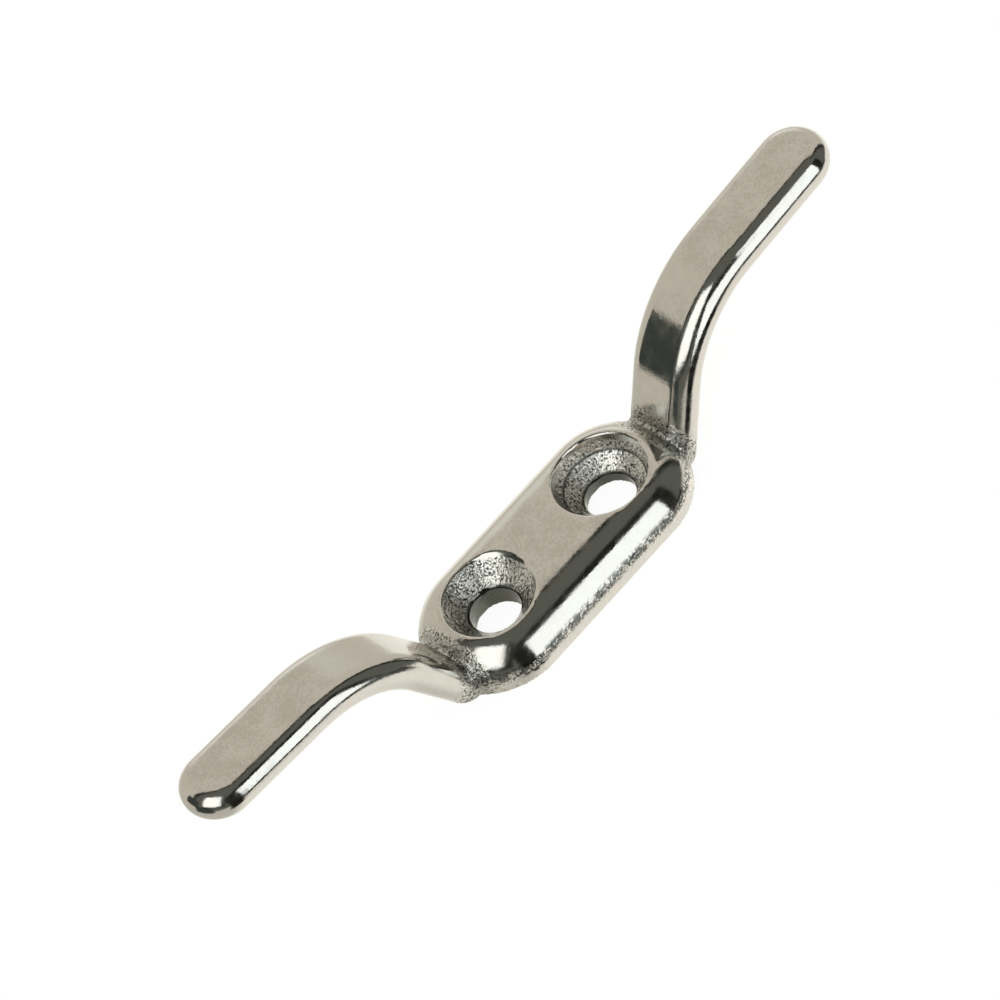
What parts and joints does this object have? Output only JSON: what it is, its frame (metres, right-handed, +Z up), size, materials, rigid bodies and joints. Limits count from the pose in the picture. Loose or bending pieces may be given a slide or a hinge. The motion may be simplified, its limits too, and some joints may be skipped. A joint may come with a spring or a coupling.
{
  "type": "cleat horn",
  "caption": "Rope cleat: a rounded pad with countersunk screw holes and a flat, full-round-edged horn rising from each end.",
  "frame": {"origin": "centre of the pad's underside, on the mounting surface", "axes": "+Z up out of the mounting surface, +X along the cleat towards the horn beside the deeper countersink"},
  "size_m": [0.1, 0.017, 0.0195],
  "materials": {
    "pad_steel": "polished cast stainless steel, rough as cast in the countersinks and beside the horn roots",
    "horn_steel": "polished cast stainless steel, rough as cast at the roots"
  },
  "bodies": {
    "root": {"base_pad": "pad_steel", "horn_left": "horn_steel", "horn_right": "horn_steel"}
  },
  "joints": []
}
